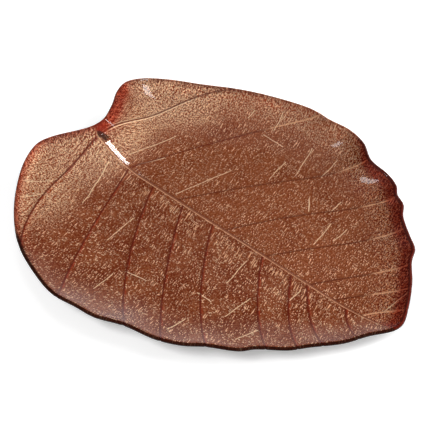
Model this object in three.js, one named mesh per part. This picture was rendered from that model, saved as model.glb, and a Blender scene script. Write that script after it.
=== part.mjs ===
// Leaf platter: a heart-shaped leaf pressed in clear glass, with its veins sunk into the underside,
// a metallic copper lacquer on that underside and a dark seal coat over the lacquer.
// Millimetres, +Z up. The midrib runs along +X from the stem to the tip, and the platter stands on z = 0.
import * as THREE from 'three';

// Thickness of the glass and of the two coats under it
const GLASS_THICKNESS = 5;
const LACQUER_THICKNESS = 0.35;
const SEAL_THICKNESS = 0.35;

// How far the rounded edge of the glass stands out past the margin of its top face
const EDGE_BULGE = 1.6;

// Height of the rim above the table at the stem, at the middle of the leaf and at the tip
const RIM_AT_STEM = 32;
const RIM_AT_MIDDLE = 25.5;
const RIM_AT_TIP = 14;

// Width of the curve that carries the rim up from the flat floor, at the same three places
const CURVE_AT_STEM = 85;
const CURVE_AT_MIDDLE = 60;
const CURVE_AT_TIP = 45;

// Grooves of the veins in the underside of the glass
const VEIN_WIDTH = 3;
const VEIN_DEPTH = 0.8;
const MIDRIB_WIDTH = 5;
const MIDRIB_DEPTH = 1.2;

// Rounded ridge over the midrib on the top face, highest at the stem and gone at its length
const RIDGE_HEIGHT = 2.2;
const RIDGE_LENGTH = 70;

// Length over which the midrib tapers to a point at the notch and at the tip
const MIDRIB_TAPER = 24;

// Length from the stem to the tip, and width across the two margins. The outline and the veins below are
// stretched along x and y to meet them.
const LEAF_LENGTH = 343;
const LEAF_WIDTH = 331;

// The outline seen from above, with the stem near the origin. The upper margin ends with the tip.
const NOTCH = [-5, 0];
const UPPER_MARGIN = [
  [-6, 14], [-17, 35], [-31, 55], [-36, 71], [-29, 86], [-8, 104], [21, 121], [60, 145], [97, 160.5],
  [130, 169.5], [152, 168.5], [174, 170], [195, 164], [215, 148.5], [239, 143], [252, 136], [259, 127],
  [270, 120.5], [278, 108], [296, 92], [307, 83], [313, 69], [326, 50], [338, 27], [344.5, 9], [343, 0],
];
const LOWER_MARGIN = [
  [-8.5, -12], [-21, -40], [-23, -54], [-13, -76], [12, -105], [40, -129], [70, -147], [100, -156.5],
  [130, -161], [153, -156.5], [170, -153.5], [192, -143], [219, -135], [237, -125], [250, -113.5],
  [271, -98.5], [278, -89], [297, -71.5], [306, -59], [322.5, -37.5], [332, -18.5],
];

// Side veins: where each leaves the midrib, its angle to the midrib there, and the x where it meets the margin
const UPPER_VEINS = [
  { from: 7, angle: 90, to: 56 },
  { from: 44, angle: 70, to: 145 },
  { from: 103, angle: 58, to: 215 },
  { from: 167, angle: 62, to: 260 },
  { from: 214, angle: 57, to: 280 },
  { from: 262, angle: 58, to: 314 },
  { from: 287, angle: 54, to: 328 },
  { from: 314, angle: 56, to: 338 },
];
const LOWER_VEINS = [
  { from: 7, angle: 86, to: 68 },
  { from: 39, angle: 67, to: 136 },
  { from: 77, angle: 61, to: 193 },
  { from: 116, angle: 58, to: 222 },
  { from: 153, angle: 58, to: 250 },
  { from: 211, angle: 57, to: 284 },
  { from: 243, angle: 58, to: 300 },
  { from: 260, angle: 53, to: 312 },
  { from: 299, angle: 56, to: 327 },
];

// Share of a side vein's length at which its curve is pulled
const VEIN_PULL = 0.59;

// Fineness of the faces: longest step along the margin and round the lobes, rows from midrib to margin and
// across a lobe, how much they crowd towards the margin, steps round the edge and samples of a side's margin
const MARGIN_STEP = 19;
const LOBE_STEP = 13;
const ROWS = 9;
const LOBE_ROWS = 5;
const ROW_CROWDING = 1.3;
const EDGE_STEPS = 3;
const MARGIN_SAMPLES = 420;

// Small lengths for working out slopes and distances
const SLOPE_STEP = 0.05;
const LEAST_OFFSET = 0.001;

// Colours and finishes
const GLASS_FINISH = { color: '#e3cfc4', roughness: 0.04, metalness: 0, transparent: true, opacity: 0.3 };
const LACQUER_FINISH = { color: '#9a5b3e', roughness: 0.4, metalness: 0.8 };
const SEAL_FINISH = { color: '#3b1d15', roughness: 0.55, metalness: 0 };

const COATS = LACQUER_THICKNESS + SEAL_THICKNESS;
const FLOOR = COATS + GLASS_THICKNESS;
const [DRAWN_LENGTH] = UPPER_MARGIN[UPPER_MARGIN.length - 1];
const DRAWN_WIDTH = Math.max(...UPPER_MARGIN.map(([, y]) => y)) - Math.min(...LOWER_MARGIN.map(([, y]) => y));
const STRETCH = LEAF_LENGTH / DRAWN_LENGTH;
const WIDEN = LEAF_WIDTH / DRAWN_WIDTH;
const UPPER = 1;
const LOWER = -1;

// One smooth closed curve through the notch, the upper margin, the tip and the lower margin
const outlinePoints = [NOTCH, ...UPPER_MARGIN, ...LOWER_MARGIN.slice().reverse()];
const outline = new THREE.CatmullRomCurve3(
  outlinePoints.map(([x, y]) => new THREE.Vector3(x * STRETCH, y * WIDEN, 0)), true, 'centripetal',
);
const tipShare = UPPER_MARGIN.length / outlinePoints.length;

// The margin of one side from the notch to the tip, drawn in from the outline by the bulge of the edge
function sampleMargin(side) {
  const end = side === UPPER ? 0 : 1;
  const points = [];
  for (let i = 0; i <= MARGIN_SAMPLES; i += 1) {
    const share = end + (tipShare - end) * (i / MARGIN_SAMPLES);
    const point = outline.getPoint(share % 1);
    const tangent = outline.getTangent(share % 1);
    const inward = new THREE.Vector3(tangent.y, -tangent.x, 0);
    points.push(point.addScaledVector(inward, EDGE_BULGE));
  }
  const lengths = [0];
  for (let i = 1; i < points.length; i += 1) {
    lengths.push(lengths[i - 1] + points[i].distanceTo(points[i - 1]));
  }
  return { points, lengths, total: lengths[lengths.length - 1] };
}

const margins = { [UPPER]: sampleMargin(UPPER), [LOWER]: sampleMargin(LOWER) };
const notchX = margins[UPPER].points[0].x;
const tipX = margins[UPPER].points[MARGIN_SAMPLES].x;

// The place on a side's margin at a given length from the notch
function marginAt(side, length) {
  const { points, lengths } = margins[side];
  const next = Math.max(1, lengths.findIndex((value) => value >= length));
  const share = (length - lengths[next - 1]) / (lengths[next] - lengths[next - 1]);
  return points[next - 1].clone().lerp(points[next], share);
}

// Length from the notch at which a side's margin, past its lobe, reaches the given x
function marginLength(side, x) {
  const { points, lengths } = margins[side];
  let last = points.length - 1;
  while (points[last - 1].x > x || points[last].x <= x) {
    last -= 1;
  }
  return lengths[last];
}

// Distance from the margin, positive inside the leaf. It is the exact distance beside a straight margin, and
// where two stretches of margin are near it blends them, so the dish has no crease between them.
const ring = [...margins[UPPER].points, ...margins[LOWER].points.slice(1, -1).reverse()];
function marginDistance(x, y) {
  let pull = 0;
  let turn = 0;
  for (let i = 0; i < ring.length; i += 1) {
    const a = ring[i];
    const b = ring[(i + 1) % ring.length];
    const length = a.distanceTo(b);
    const dx = (b.x - a.x) / length;
    const dy = (b.y - a.y) / length;
    const near = (a.x - x) * dx + (a.y - y) * dy;
    const far = near + length;
    const off = Math.max(Math.abs((x - a.x) * dy - (y - a.y) * dx), LEAST_OFFSET);
    const square = off * off;
    pull += (far / (square + far * far) - near / (square + near * near)) / (2 * square);
    pull += (Math.atan(far / off) - Math.atan(near / off)) / (2 * square * off);
    const cross = (a.x - x) * (b.y - y) - (a.y - y) * (b.x - x);
    const dot = (a.x - x) * (b.x - x) + (a.y - y) * (b.y - y);
    turn += Math.atan2(cross, dot);
  }
  const inside = Math.abs(turn) > Math.PI ? 1 : -1;
  return inside * Math.cbrt(Math.PI / 2 / pull);
}

// A value that runs smoothly through its three sizes from the rear of the lobes to the tip
const rearX = Math.min(...ring.map((point) => point.x));
function alongLeaf(x, atStem, atMiddle, atTip) {
  const v = THREE.MathUtils.clamp((x - rearX) / (tipX - rearX), 0, 1);
  const pull = 2 * atMiddle - (atStem + atTip) / 2;
  return atStem * (1 - v) ** 2 + 2 * pull * v * (1 - v) + atTip * v ** 2;
}

// Height of the top face above the table, and the direction square to it
function heightAt(x, y) {
  const rise = alongLeaf(x, RIM_AT_STEM, RIM_AT_MIDDLE, RIM_AT_TIP) - FLOOR;
  const curve = alongLeaf(x, CURVE_AT_STEM, CURVE_AT_MIDDLE, CURVE_AT_TIP);
  return FLOOR + rise * Math.max(0, 1 - marginDistance(x, y) / curve) ** 2;
}

function normalAt(x, y) {
  const slopeX = (heightAt(x + SLOPE_STEP, y) - heightAt(x - SLOPE_STEP, y)) / (2 * SLOPE_STEP);
  const slopeY = (heightAt(x, y + SLOPE_STEP) - heightAt(x, y - SLOPE_STEP)) / (2 * SLOPE_STEP);
  return new THREE.Vector3(-slopeX, -slopeY, 1).normalize();
}

// Half width of the midrib at a place along it, and the height of the ridge over it
function midribHalf(x) {
  const taper = Math.min(1, (x - notchX) / MIDRIB_TAPER, (tipX - x) / MIDRIB_TAPER);
  return (MIDRIB_WIDTH / 2) * Math.max(0, taper);
}

function ridgeAt(x) {
  const rise = Math.min(1, (x - notchX) / MIDRIB_TAPER);
  return RIDGE_HEIGHT * Math.max(0, rise) * Math.max(0, 1 - x / RIDGE_LENGTH);
}

// Lines across one side: each vein has its crest and two flanks, with plain lines between the veins
function stationsOf(side) {
  const veins = side === UPPER ? UPPER_VEINS : LOWER_VEINS;
  const stations = [];
  const fillTo = (next) => {
    const last = stations[stations.length - 1];
    const count = Math.ceil((next.length - last.length) / MARGIN_STEP);
    for (let i = 1; i < count; i += 1) {
      const share = i / count;
      stations.push({
        start: THREE.MathUtils.lerp(last.start, next.start, share),
        length: THREE.MathUtils.lerp(last.length, next.length, share),
        angle: THREE.MathUtils.lerp(last.angle, next.angle, share),
        groove: 0,
      });
    }
  };
  for (const vein of veins) {
    const half = VEIN_WIDTH / 2 / Math.sin(THREE.MathUtils.degToRad(vein.angle));
    const start = vein.from * STRETCH;
    const length = marginLength(side, vein.to * STRETCH);
    const near = { start: start - half, length: length - half, angle: vein.angle, groove: 0 };
    const crest = { start, length, angle: vein.angle, groove: VEIN_DEPTH };
    const far = { start: start + half, length: length + half, angle: vein.angle, groove: 0 };
    if (stations.length > 0) {
      fillTo(near);
    }
    stations.push(near, crest, far);
  }
  fillTo({ start: tipX, length: margins[side].total, angle: veins[veins.length - 1].angle });
  return stations;
}

const stations = { [UPPER]: stationsOf(UPPER), [LOWER]: stationsOf(LOWER) };

// All points of the leaf seen from above. Each knows its groove below and its ridge above.
const points = [];
function addPoint(x, y, groove, ridge) {
  points.push({ x, y, groove, ridge });
  return points.length - 1;
}

const notchPoint = addPoint(notchX, 0, 0, 0);
const tipPoint = addPoint(tipX, 0, 0, 0);

// One row of point numbers for each station, from the midrib's flank to the margin, in a gentle curve
function gridOf(side) {
  return stations[side].map(({ start, length, angle, groove }) => {
    const a = new THREE.Vector3(start, side * midribHalf(start), 0);
    const b = marginAt(side, length);
    const reach = a.distanceTo(b) * VEIN_PULL;
    const turn = THREE.MathUtils.degToRad(angle);
    const pull = new THREE.Vector3(a.x + reach * Math.cos(turn), a.y + side * reach * Math.sin(turn), 0);
    const line = new THREE.QuadraticBezierCurve3(a, pull, b);
    const row = [];
    for (let j = 0; j <= ROWS; j += 1) {
      const spot = line.getPoint(1 - (1 - j / ROWS) ** ROW_CROWDING);
      row.push(addPoint(spot.x, spot.y, groove, 0));
    }
    return row;
  });
}

const grids = { [UPPER]: gridOf(UPPER), [LOWER]: gridOf(LOWER) };
const crestLine = grids[UPPER].map((row) => {
  const { x } = points[row[0]];
  const share = midribHalf(x) / (MIDRIB_WIDTH / 2);
  return addPoint(x, 0, MIDRIB_DEPTH * share, ridgeAt(x));
});

// The lobe behind a side's first vein: rows that spread from the notch between that vein and the margin
function lobeOf(side) {
  const vein = [notchPoint, ...grids[side][0]];
  const path = new THREE.CurvePath();
  for (let i = 1; i < vein.length; i += 1) {
    const [from, to] = [points[vein[i - 1]], points[vein[i]]];
    path.add(new THREE.LineCurve3(new THREE.Vector3(from.x, from.y, 0), new THREE.Vector3(to.x, to.y, 0)));
  }
  const veinShares = [0, ...path.getCurveLengths().map((length) => length / path.getLength())];
  const reach = stations[side][0].length;
  const count = Math.ceil(reach / LOBE_STEP);
  const shares = Array.from({ length: count + 1 }, (_, i) => i / count);
  const rows = [];
  for (let row = 1; row <= LOBE_ROWS; row += 1) {
    const across = 1 - (1 - row / LOBE_ROWS) ** ROW_CROWDING;
    const inner = shares.slice(1, -1).map((share) => {
      const spot = path.getPoint(share).lerp(marginAt(side, reach * share), across);
      return addPoint(spot.x, spot.y, 0, 0);
    });
    rows.push([notchPoint, ...inner, vein[vein.length - 1]]);
  }
  return { vein, veinShares, rows, shares };
}

const lobes = { [UPPER]: lobeOf(UPPER), [LOWER]: lobeOf(LOWER) };

// Triangles seen from above, turned so that they face up. One with a repeated corner is left out.
const faces = [];
function addFace(a, b, c) {
  if (a === b || b === c || c === a) {
    return;
  }
  const [p, q, r] = [points[a], points[b], points[c]];
  const area = (q.x - p.x) * (r.y - p.y) - (q.y - p.y) * (r.x - p.x);
  faces.push(area > 0 ? [a, b, c] : [a, c, b]);
}

// A four-sided cell, cut along its shorter diagonal
function addCell(a, b, c, d) {
  const apart = (p, q) => Math.hypot(points[p].x - points[q].x, points[p].y - points[q].y);
  if (apart(a, c) < apart(b, d)) {
    addFace(a, b, c);
    addFace(a, c, d);
  } else {
    addFace(a, b, d);
    addFace(b, c, d);
  }
}

// Fills the strip between two lines of points, by their places along it
function stitch(first, firstPlaces, second, secondPlaces) {
  let i = 0;
  let j = 0;
  while (i < first.length - 1 || j < second.length - 1) {
    const nextFirst = i < first.length - 1 ? firstPlaces[i + 1] : Infinity;
    const nextSecond = j < second.length - 1 ? secondPlaces[j + 1] : Infinity;
    if (nextFirst <= nextSecond) {
      addFace(first[i], first[i + 1], second[j]);
      i += 1;
    } else {
      addFace(first[i], second[j], second[j + 1]);
      j += 1;
    }
  }
}

const placesInX = (line) => line.map((number) => points[number].x);
for (const side of [UPPER, LOWER]) {
  const grid = grids[side];
  const flank = grid.map((row) => row[0]);
  stitch(crestLine, placesInX(crestLine), flank, placesInX(flank));
  for (let j = 0; j < ROWS; j += 1) {
    addFace(tipPoint, grid[grid.length - 1][j], grid[grid.length - 1][j + 1]);
    for (let k = 0; k < grid.length - 1; k += 1) {
      addCell(grid[k][j], grid[k + 1][j], grid[k + 1][j + 1], grid[k][j + 1]);
    }
  }
  addFace(notchPoint, crestLine[0], grid[0][0]);
  addFace(tipPoint, crestLine[crestLine.length - 1], grid[grid.length - 1][0]);
  const { vein, veinShares, rows, shares } = lobes[side];
  stitch(vein, veinShares, rows[0], shares);
  for (let row = 1; row < LOBE_ROWS; row += 1) {
    for (let i = 0; i < shares.length - 1; i += 1) {
      addCell(rows[row - 1][i], rows[row - 1][i + 1], rows[row][i + 1], rows[row][i]);
    }
  }
}

// The margin's points in order round the leaf, counterclockwise from the notch
const marginPoints = (side) => [
  ...lobes[side].rows[LOBE_ROWS - 1].slice(1, -1), ...grids[side].map((row) => row[ROWS]),
];
const border = [notchPoint, ...marginPoints(LOWER), tipPoint, ...marginPoints(UPPER).reverse()];

// Heights and directions, worked out once for each point
for (const point of points) {
  point.spot = new THREE.Vector3(point.x, point.y, heightAt(point.x, point.y));
  point.normal = normalAt(point.x, point.y);
}

// The top face, and a face at a given depth under it that follows the grooves
const topFace = points.map(({ spot, ridge }) => new THREE.Vector3(spot.x, spot.y, spot.z + ridge));
const faceBelow = (depth) => points.map(
  ({ spot, normal, groove }) => spot.clone().addScaledVector(normal, groove - depth),
);

// A point on the rounded edge of the glass, from 0 at the top margin to 1 at the bottom margin
function edgePoint(index, share) {
  const { spot, normal } = points[border[index]];
  const before = points[border[(index + border.length - 1) % border.length]].spot;
  const after = points[border[(index + 1) % border.length]].spot;
  const outward = new THREE.Vector3().subVectors(after, before).cross(normal).normalize();
  const turn = Math.PI * share;
  return spot.clone()
    .addScaledVector(normal, (GLASS_THICKNESS / 2) * (Math.cos(turn) - 1))
    .addScaledVector(outward, EDGE_BULGE * Math.sin(turn));
}

// A closed shell between two faces of the leaf, with rows of edge points between their margins
function shell(upperFace, lowerFace, edgeSteps) {
  const vertices = [...upperFace, ...lowerFace];
  const shift = upperFace.length;
  const index = [];
  for (const [a, b, c] of faces) {
    index.push(a, b, c, shift + a, shift + c, shift + b);
  }
  const rows = [border];
  for (let step = 1; step < edgeSteps; step += 1) {
    rows.push(border.map((_, i) => vertices.push(edgePoint(i, step / edgeSteps)) - 1));
  }
  rows.push(border.map((number) => shift + number));
  for (let step = 0; step < rows.length - 1; step += 1) {
    for (let i = 0; i < border.length; i += 1) {
      const next = (i + 1) % border.length;
      const [a, b, c, d] = [rows[step][i], rows[step][next], rows[step + 1][next], rows[step + 1][i]];
      index.push(a, d, c, a, c, b);
    }
  }
  const geometry = new THREE.BufferGeometry().setFromPoints(vertices);
  geometry.setIndex(index);
  geometry.computeVertexNormals();
  return geometry;
}

function namedMesh(name, geometry, finish) {
  const mesh = new THREE.Mesh(geometry, new THREE.MeshStandardMaterial(finish));
  mesh.name = name;
  return mesh;
}

const glassUnderside = faceBelow(GLASS_THICKNESS);
const lacquerUnderside = faceBelow(GLASS_THICKNESS + LACQUER_THICKNESS);
const sealUnderside = faceBelow(GLASS_THICKNESS + COATS);

const platter = new THREE.Group();
platter.add(namedMesh('glass_leaf', shell(topFace, glassUnderside, EDGE_STEPS), GLASS_FINISH));
platter.add(namedMesh('copper_lacquer', shell(glassUnderside, lacquerUnderside, 1), LACQUER_FINISH));
platter.add(namedMesh('back_seal_coat', shell(lacquerUnderside, sealUnderside, 1), SEAL_FINISH));

// The origin is on the table under the middle of the platter's box
const middle = new THREE.Box3().setFromObject(platter).getCenter(new THREE.Vector3());
platter.position.set(-middle.x, -middle.y, 0);

export default platter;
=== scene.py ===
# %% [markdown]
# # A leaf platter in copper-backed glass
# The real platter is a heart-shaped leaf pressed in clear glass. Its top is smooth, and the veins of the
# leaf are pressed into the underside. That underside is sprayed with a copper lacquer, which shows
# through the glass, and a dark brown coat seals the lacquer from below. This lesson dresses the measured
# frame of the platter: it lays a fine mesh along the veins, thickens it into glass, peels the two coats
# off its underside and paints them.

# %% Open the measured frame
import math
import bpy
import numpy as np
from mathutils import Matrix, Vector, kdtree


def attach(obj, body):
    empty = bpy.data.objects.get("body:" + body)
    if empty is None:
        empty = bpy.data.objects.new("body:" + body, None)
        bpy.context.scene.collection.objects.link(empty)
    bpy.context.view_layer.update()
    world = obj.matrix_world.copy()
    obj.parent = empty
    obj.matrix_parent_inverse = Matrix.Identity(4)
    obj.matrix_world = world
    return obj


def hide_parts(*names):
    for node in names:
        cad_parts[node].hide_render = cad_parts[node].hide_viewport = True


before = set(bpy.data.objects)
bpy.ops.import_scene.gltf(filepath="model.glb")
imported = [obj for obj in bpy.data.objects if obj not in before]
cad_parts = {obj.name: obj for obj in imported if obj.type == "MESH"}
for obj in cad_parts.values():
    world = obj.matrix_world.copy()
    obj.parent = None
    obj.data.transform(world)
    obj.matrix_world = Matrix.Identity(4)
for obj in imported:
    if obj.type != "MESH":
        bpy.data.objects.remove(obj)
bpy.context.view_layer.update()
MM = 0.001

# %% [markdown]
# ## The drawing of the leaf
# A leaf is easiest to draw along its midrib, so x runs along it from the stem to the tip and y across it,
# in millimetres. The outline, the glass, the coats and the rim have the sizes of the frame. The veins,
# the stem and the near side of the dish are drawn a little finer than there. The margin is a short list
# of points, and a smooth curve through them gives the lobes, the scallops and the blunt tip.

# %% Sizes of the platter
# The glass, the two coats under it, and how far the rounded edge stands out
GLASS = 5.0
LACQUER = 0.35
SEAL = 0.35
FLOOR = GLASS + LACQUER + SEAL
EDGE_BULGE = 1.6

# How much the rim thins on its underside, and over what width
EDGE_THIN = 2.6
EDGE_THIN_WIDTH = 12.0

# Height of the rim, and width of the curve that carries it up, at the lobes, in the middle and at the tip
RIM_HEIGHTS = (32.0, 25.5, 14.0)
CURVE_WIDTHS = (85.0, 60.0, 45.0)

# The gentle near side: the y where it starts, how much further out it is full, and the shares by which
# its curve is wider and its rim lower
GENTLE_FROM = -20.0
GENTLE_WIDTH = 70.0
GENTLE_SPREAD = 0.35
GENTLE_DROP = 0.05

# Grooves of the side veins and of the midrib, which tapers at both ends
VEIN_WIDTH = 3.0
VEIN_DEPTH = 0.5
VEIN_PULL = 0.59
MIDRIB_WIDTH = 3.6
MIDRIB_END_WIDTH = 2.2
MIDRIB_DEPTH = 0.8
MIDRIB_TAPER = 24.0

# The stem, which is the wide start of the midrib, and the leaning ridge over it
STEM_WIDTH = 6.4
STEM_LENGTH = 45.0
RIDGE_SLOPE = 0.65
RIDGE_CREST = 0.4
RIDGE_PLACES = (3.0, 12.0, 45.0, 66.0)
RIDGE_SHARES = (0.0, 1.0, 1.0, 0.0)

# The margin seen from above. The upper one ends with the tip
NOTCH = [(-5, 0)]
UPPER_MARGIN = [
    (-6, 14), (-17, 35), (-31, 55), (-36, 71), (-29, 86), (-8, 104), (21, 121), (60, 145), (97, 160.5),
    (130, 169.5), (152, 168.5), (174, 170), (195, 164), (215, 148.5), (239, 143), (252, 136), (259, 127),
    (270, 120.5), (278, 108), (296, 92), (307, 83), (313, 69), (326, 50), (338, 27), (344.5, 9), (343, 0),
]
LOWER_MARGIN = [
    (-8.5, -12), (-21, -40), (-23, -54), (-13, -76), (12, -105), (40, -129), (70, -147), (100, -156.5),
    (130, -161), (153, -156.5), (170, -153.5), (192, -143), (219, -135), (237, -125), (250, -113.5),
    (271, -98.5), (278, -89), (297, -71.5), (306, -59), (322.5, -37.5), (332, -18.5),
]

# Each side vein: where it leaves the midrib, its angle there, and the x where it meets the margin
UPPER_VEINS = [
    (4, 97, 50), (44, 75, 140), (108, 60, 214), (167, 62, 260), (214, 57, 288), (262, 58, 314), (287, 54, 328),
    (314, 56, 338),
]
LOWER_VEINS = [
    (4, 84, 70), (44, 68, 134), (77, 61, 193), (116, 58, 222), (153, 58, 250), (211, 57, 284), (243, 58, 300),
    (260, 53, 312), (299, 56, 327),
]

# %% [markdown]
# ## The margin as a smooth curve
# A curve tool would need its handles set one by one, so the curve is worked out instead: a centripetal
# Catmull-Rom curve passes through every point and never makes a loop between two of them.

# %% Draw the margin
CURVE_STEPS = 12


def smooth_ring(points, steps):
    """A closed smooth curve through the points, with that many steps from each point to the next."""
    p1 = np.array(points, float)
    p0, p2, p3 = np.roll(p1, 1, 0), np.roll(p1, -1, 0), np.roll(p1, -2, 0)
    pairs = ((p0, p1), (p1, p2), (p2, p3))
    gap0, gap1, gap2 = (np.sqrt(np.linalg.norm(b - a, axis=1))[:, None] for a, b in pairs)
    out1 = gap1 * ((p1 - p0) / gap0 - (p2 - p0) / (gap0 + gap1) + (p2 - p1) / gap1)
    out2 = gap1 * ((p2 - p1) / gap1 - (p3 - p1) / (gap1 + gap2) + (p3 - p2) / gap2)
    s = (np.arange(steps) / steps)[None, :, None]
    p1, p2, out1, out2 = (value[:, None, :] for value in (p1, p2, out1, out2))
    bend = 3 * (p2 - p1) - 2 * out1 - out2
    twist = 2 * (p1 - p2) + out1 + out2
    return (p1 + out1 * s + bend * s**2 + twist * s**3).reshape(-1, 2)


outline = smooth_ring(NOTCH + UPPER_MARGIN + LOWER_MARGIN[::-1], CURVE_STEPS)
tangent = np.roll(outline, -1, 0) - np.roll(outline, 1, 0)
tangent /= np.linalg.norm(tangent, axis=1)[:, None]
inset = outline + EDGE_BULGE * np.stack([tangent[:, 1], -tangent[:, 0]], 1)
middle = (outline.max(0) + outline.min(0)) / 2
tip_at = len(UPPER_MARGIN) * CURVE_STEPS
sides = {"upper": inset[: tip_at + 1], "lower": np.concatenate([inset[:1], inset[:tip_at - 1:-1]])}
lengths = {
    side: np.concatenate([[0], np.cumsum(np.linalg.norm(np.diff(line, axis=0), axis=1))])
    for side, line in sides.items()
}
notch_x, tip_x = inset[0, 0], inset[tip_at, 0]
print("outline", len(outline), "points, box", (outline.max(0) - outline.min(0)).round(1), "mm")

# %% [markdown]
# ## The dish
# The rim is pressed up in a smooth curve from a flat floor. Its height depends on the distance from the
# margin, and that distance is softened so that the two lobes blend into the dish with no crease between
# them. The side towards the viewer climbs more gently than the others.

# %% Work out the height of the glass
LEAST_OFFSET = 0.001
AT_ONCE = 4000
MIDRIB_PROBES = (60.0, 140.0, 240.0)


def margin_distance(x, y):
    """Soft distance in mm from the margin, positive inside the leaf."""
    start, end = inset, np.roll(inset, -1, 0)
    span = np.linalg.norm(end - start, axis=1)
    way = (end - start) / span[:, None]
    result = np.empty(len(x))
    for first in range(0, len(x), AT_ONCE):
        dx = start[None, :, 0] - x[first:first + AT_ONCE, None]
        dy = start[None, :, 1] - y[first:first + AT_ONCE, None]
        near = dx * way[:, 0] + dy * way[:, 1]
        far = near + span
        beside = dx * way[:, 1] - dy * way[:, 0]
        off = np.maximum(np.abs(beside), LEAST_OFFSET)
        angle = np.arctan(far / off) - np.arctan(near / off)
        pull = (far / (off**2 + far**2) - near / (off**2 + near**2)) / (2 * off**2) + angle / (2 * off**3)
        turn = np.where(beside > 0, -angle, angle).sum(1)
        inside = np.where(np.abs(turn) > math.pi, 1, -1)
        result[first:first + AT_ONCE] = inside * np.cbrt(math.pi / 2 / pull.sum(1))
    return result


def along_leaf(x, sizes):
    """A size that runs smoothly through its three values from the lobes to the tip."""
    share = np.clip((x - inset[:, 0].min()) / (tip_x - inset[:, 0].min()), 0, 1)
    at_stem, at_middle, at_tip = sizes
    pull = 2 * at_middle - (at_stem + at_tip) / 2
    return at_stem * (1 - share) ** 2 + 2 * pull * share * (1 - share) + at_tip * share**2


def dish_height(x, y, distance):
    """Height of the top of the glass over the table, in mm."""
    gentle = np.clip((GENTLE_FROM - y) / GENTLE_WIDTH, 0, 1)
    gentle = gentle**2 * (3 - 2 * gentle)
    rise = (along_leaf(x, RIM_HEIGHTS) - FLOOR) * (1 - GENTLE_DROP * gentle)
    width = along_leaf(x, CURVE_WIDTHS) * (1 + GENTLE_SPREAD * gentle)
    return FLOOR + rise * np.maximum(0, 1 - distance / width) ** 2


probe = np.array(MIDRIB_PROBES)
probe_heights = dish_height(probe, probe * 0, margin_distance(probe, probe * 0))
print("dish height on the midrib", probe_heights.round(2), "mm")

# %% [markdown]
# ## Lines along the veins
# A square grid would cut across the veins and make them ragged. A modeller who draws a leaf lets the
# edges run along the veins, and so does this mesh: each line starts at the midrib, leaves it at a vein's
# angle and bends gently to the margin. Lines crowd at each vein so that its groove keeps a round bottom.

# %% Lay out the lines
LINE_STEP = 4.2
FLANKS = (-1.0, -0.5, 0.0, 0.5, 1.0)


def half_width(angle):
    """Half the width of a vein, measured along the midrib."""
    return VEIN_WIDTH / 2 / np.sin(np.radians(angle))


def reach_at(side, x):
    """Length along a side's margin, from the notch, where it last passes x."""
    line = sides[side]
    return lengths[side][np.nonzero(line[:, 0] <= x)[0][-1]]


def side_plan(side, veins):
    """Where lines start on the midrib, and the angle, margin length and vein number that go with them."""
    start, angle, reach, crest = [], [], [], []
    for leaves, turn, meets in veins:
        half = half_width(turn)
        crest.append(leaves)
        for shift in (-half, 0, half):
            start.append(leaves + shift)
            angle.append(turn)
            reach.append(reach_at(side, meets) + shift)
    start.append(tip_x)
    angle.append(angle[-1])
    reach.append(lengths[side][-1])
    return {"start": start, "angle": angle, "reach": reach, "crest": crest + [tip_x]}


plans = {"upper": side_plan("upper", UPPER_VEINS), "lower": side_plan("lower", LOWER_VEINS)}
first_x = max(plan["start"][0] for plan in plans.values())
marks = [first_x, tip_x]
for vein in UPPER_VEINS + LOWER_VEINS:
    marks += [vein[0] + share * half_width(vein[1]) for share in FLANKS]
marks = np.unique(np.clip(np.round(marks, 3), first_x, tip_x))
spans = [
    np.linspace(a, b, math.ceil((b - a) / LINE_STEP), endpoint=False) for a, b in zip(marks[:-1], marks[1:])
]
starts = np.concatenate(spans + [[tip_x]])
print(len(starts), "lines leave the midrib on each side")

# %% [markdown]
# ## Points on the lines
# Each line is a curve with one pull point, so three places describe it: its start at the edge of the
# midrib, the pull in the vein's direction, and its end on the margin. The midrib itself is widest at the
# stem.

# %% Helpers that place points on the lines


def midrib_half(x):
    """Half the width of the midrib, which is widest at the stem and ends in points."""
    places = (notch_x, first_x, first_x + MIDRIB_TAPER / 2, STEM_LENGTH, tip_x - MIDRIB_TAPER, tip_x)
    widths = (0, STEM_WIDTH, STEM_WIDTH, MIDRIB_WIDTH, MIDRIB_END_WIDTH, 0)
    return np.interp(x, places, widths) / 2


def margin_point(side, reach):
    """The point on a side's margin at that length from the notch."""
    return np.stack([np.interp(reach, lengths[side], sides[side][:, k]) for k in (0, 1)], -1)


def vein_points(side, x, rows):
    """Points from the midrib to the margin, one row of the array for each start x."""
    plan = plans[side]
    sign = 1 if side == "upper" else -1
    a = np.stack([x, sign * midrib_half(x)], -1)
    b = margin_point(side, np.interp(x, plan["start"], plan["reach"]))
    turn = np.radians(np.interp(x, plan["start"], plan["angle"]))
    reach = VEIN_PULL * np.linalg.norm(b - a, axis=1)
    pull = a + reach[:, None] * np.stack([np.cos(turn), sign * np.sin(turn)], -1)
    t = np.linspace(0, 1, rows + 1)[None, :, None]
    return a[:, None] * (1 - t) ** 2 + 2 * pull[:, None] * t * (1 - t) + b[:, None] * t**2


def length_along(points):
    """Length along each line of points, from its first point."""
    steps = np.linalg.norm(np.diff(points, axis=1), axis=2)
    return np.concatenate([np.zeros((len(points), 1)), np.cumsum(steps, axis=1)], 1)


def groove_shape(gap, half):
    """A rounded groove: 1 on its line and 0 at half its width away."""
    return 0.5 + 0.5 * np.cos(np.pi * np.clip(gap / half, 0, 1))


# %% [markdown]
# ## Patches of the leaf
# Each side of the leaf, each lobe behind the first vein, the midrib and the stem's end is one grid
# primitive, moved point by point to its place. Every point also learns how deep its groove is, and every
# patch gets two UV maps that the lacquer reads later: one counts veins along the midrib and measures
# millimetres along them, and the other holds the distance to the nearest side vein and to the margin.

# %% Lay one patch


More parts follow.
